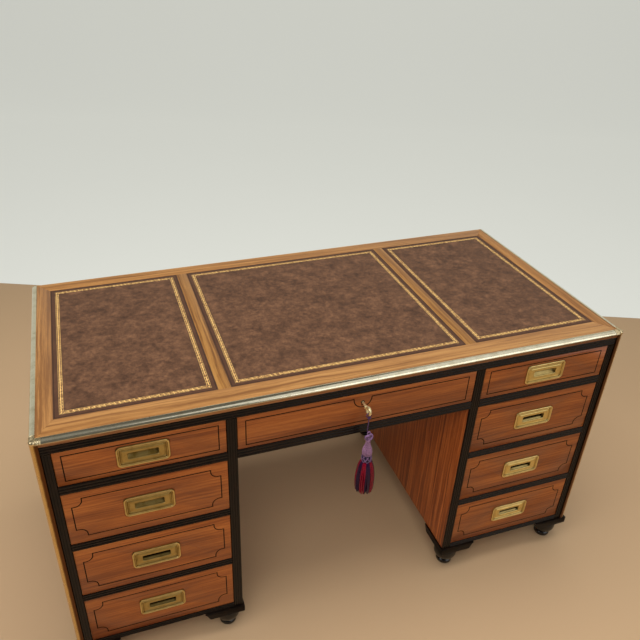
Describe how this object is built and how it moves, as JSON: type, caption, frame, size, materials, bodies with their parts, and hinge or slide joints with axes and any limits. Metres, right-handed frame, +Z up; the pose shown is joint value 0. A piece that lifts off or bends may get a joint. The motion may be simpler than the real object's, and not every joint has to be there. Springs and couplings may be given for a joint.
{
  "type": "campaign desk",
  "caption": "Kneehole campaign desk with two drawer pedestals, a leather-inlaid top, brass edges, recessed swing pulls, reeded black frame and a key with a tassel.",
  "frame": {"origin": "on the floor under the middle of the box of the desk and its key", "axes": "+X to the right of a sitter's view of the front, along the width; +Y from the drawer fronts to the back; +Z up"},
  "size_m": [1.468, 0.7321, 0.7863],
  "materials": {
    "top_wood": "French polished honey-coloured wood",
    "case_wood": "polished red-brown veneer, upright grain",
    "drawer_wood": "polished orange-brown veneer, level grain",
    "ebonised_wood": "glossy black ebonised",
    "polished_brass": "polished, pale",
    "pull_brass": "aged satin brass",
    "tooled_leather": "mottled brown hide with a gilt tooled border",
    "drawer_lining": "plain waxed pine",
    "lock_steel": "brushed",
    "silk_cord": "twisted mauve silk",
    "silk_tassel": "wound silk and bullion strands"
  },
  "bodies": {
    "carcass": {"top_core": "top_wood", "top_border": "top_wood", "top_crossbars": "top_wood", "leather_left": "tooled_leather", "leather_centre": "tooled_leather", "leather_right": "tooled_leather", "brass_edging": "polished_brass", "brass_corner_caps": "polished_brass", "brass_corner_posts": "polished_brass", "side_panel_left": "case_wood", "side_panel_right": "case_wood", "kneehole_panel_left": "case_wood", "kneehole_panel_right": "case_wood", "back_panels": "case_wood", "case_bottoms": "drawer_lining", "dust_boards": "drawer_lining", "front_stiles": "ebonised_wood", "front_rails": "ebonised_wood", "plinth_brackets": "ebonised_wood", "turned_feet": "ebonised_wood"},
    "drawer_left_1": {"drawer_front_left_1": "drawer_wood", "drawer_box_left_1": "drawer_lining", "pull_plate_left_1": "pull_brass"},
    "bail_left_1": {"pull_bail_left_1": "pull_brass"},
    "drawer_left_2": {"drawer_front_left_2": "drawer_wood", "drawer_box_left_2": "drawer_lining", "pull_plate_left_2": "pull_brass"},
    "bail_left_2": {"pull_bail_left_2": "pull_brass"},
    "drawer_left_3": {"drawer_front_left_3": "drawer_wood", "drawer_box_left_3": "drawer_lining", "pull_plate_left_3": "pull_brass"},
    "bail_left_3": {"pull_bail_left_3": "pull_brass"},
    "drawer_left_4": {"drawer_front_left_4": "drawer_wood", "drawer_box_left_4": "drawer_lining", "pull_plate_left_4": "pull_brass"},
    "bail_left_4": {"pull_bail_left_4": "pull_brass"},
    "drawer_right_1": {"drawer_front_right_1": "drawer_wood", "drawer_box_right_1": "drawer_lining", "pull_plate_right_1": "pull_brass"},
    "bail_right_1": {"pull_bail_right_1": "pull_brass"},
    "drawer_right_2": {"drawer_front_right_2": "drawer_wood", "drawer_box_right_2": "drawer_lining", "pull_plate_right_2": "pull_brass"},
    "bail_right_2": {"pull_bail_right_2": "pull_brass"},
    "drawer_right_3": {"drawer_front_right_3": "drawer_wood", "drawer_box_right_3": "drawer_lining", "pull_plate_right_3": "pull_brass"},
    "bail_right_3": {"pull_bail_right_3": "pull_brass"},
    "drawer_right_4": {"drawer_front_right_4": "drawer_wood", "drawer_box_right_4": "drawer_lining", "pull_plate_right_4": "pull_brass"},
    "bail_right_4": {"pull_bail_right_4": "pull_brass"},
    "drawer_centre": {"drawer_front_centre": "drawer_wood", "drawer_box_centre": "drawer_lining", "escutcheon": "polished_brass", "lock_case": "lock_steel"},
    "lock_bolt": {"lock_bolt": "lock_steel"},
    "key": {"key": "polished_brass"},
    "tassel": {"key_cord": "silk_cord", "tassel": "silk_tassel"}
  },
  "joints": [
    {"name": "slide_left_1", "type": "slide", "parent": "carcass", "child": "drawer_left_1", "axis": [0, -1, 0], "range_m": [0, 0.43]},
    {"name": "bail_left_1_swing", "type": "hinge", "parent": "drawer_left_1", "child": "bail_left_1", "pos_m": [-0.51025, -0.3112, 0.7161], "axis": [-1, 0, 0], "range_deg": [0, 80]},
    {"name": "slide_left_2", "type": "slide", "parent": "carcass", "child": "drawer_left_2", "axis": [0, -1, 0], "range_m": [0, 0.43]},
    {"name": "bail_left_2_swing", "type": "hinge", "parent": "drawer_left_2", "child": "bail_left_2", "pos_m": [-0.51025, -0.3112, 0.5656], "axis": [-1, 0, 0], "range_deg": [0, 80]},
    {"name": "slide_left_3", "type": "slide", "parent": "carcass", "child": "drawer_left_3", "axis": [0, -1, 0], "range_m": [0, 0.43]},
    {"name": "bail_left_3_swing", "type": "hinge", "parent": "drawer_left_3", "child": "bail_left_3", "pos_m": [-0.51025, -0.3112, 0.3876], "axis": [-1, 0, 0], "range_deg": [0, 80]},
    {"name": "slide_left_4", "type": "slide", "parent": "carcass", "child": "drawer_left_4", "axis": [0, -1, 0], "range_m": [0, 0.43]},
    {"name": "bail_left_4_swing", "type": "hinge", "parent": "drawer_left_4", "child": "bail_left_4", "pos_m": [-0.51025, -0.3112, 0.2096], "axis": [-1, 0, 0], "range_deg": [0, 80]},
    {"name": "slide_right_1", "type": "slide", "parent": "carcass", "child": "drawer_right_1", "axis": [0, -1, 0], "range_m": [0, 0.43]},
    {"name": "bail_right_1_swing", "type": "hinge", "parent": "drawer_right_1", "child": "bail_right_1", "pos_m": [0.51025, -0.3112, 0.7161], "axis": [-1, 0, 0], "range_deg": [0, 80]},
    {"name": "slide_right_2", "type": "slide", "parent": "carcass", "child": "drawer_right_2", "axis": [0, -1, 0], "range_m": [0, 0.43]},
    {"name": "bail_right_2_swing", "type": "hinge", "parent": "drawer_right_2", "child": "bail_right_2", "pos_m": [0.51025, -0.3112, 0.5656], "axis": [-1, 0, 0], "range_deg": [0, 80]},
    {"name": "slide_right_3", "type": "slide", "parent": "carcass", "child": "drawer_right_3", "axis": [0, -1, 0], "range_m": [0, 0.43]},
    {"name": "bail_right_3_swing", "type": "hinge", "parent": "drawer_right_3", "child": "bail_right_3", "pos_m": [0.51025, -0.3112, 0.3876], "axis": [-1, 0, 0], "range_deg": [0, 80]},
    {"name": "slide_right_4", "type": "slide", "parent": "carcass", "child": "drawer_right_4", "axis": [0, -1, 0], "range_m": [0, 0.43]},
    {"name": "bail_right_4_swing", "type": "hinge", "parent": "drawer_right_4", "child": "bail_right_4", "pos_m": [0.51025, -0.3112, 0.2096], "axis": [-1, 0, 0], "range_deg": [0, 80]},
    {"name": "slide_centre", "type": "slide", "parent": "carcass", "child": "drawer_centre", "axis": [0, -1, 0], "range_m": [0, 0.43]},
    {"name": "key_turn", "type": "hinge", "parent": "drawer_centre", "child": "key", "pos_m": [0, -0.3157, 0.718], "axis": [0, 1, 0], "range_deg": [0, 90]},
    {"name": "bolt_slide", "type": "slide", "parent": "drawer_centre", "child": "lock_bolt", "axis": [0, 0, 1], "range_m": [0, 0.0081]},
    {"name": "tassel_hang", "type": "hinge", "parent": "key", "child": "tassel", "pos_m": [0, -0.3491, 0.70804], "axis": [0, 1, 0], "range_deg": [-90, 0]}
  ],
  "couplings": [
    {"joint": "bolt_slide", "follows": "key_turn", "m_per_rad": 0.005093},
    {"joint": "tassel_hang", "follows": "key_turn", "ratio": -1}
  ]
}
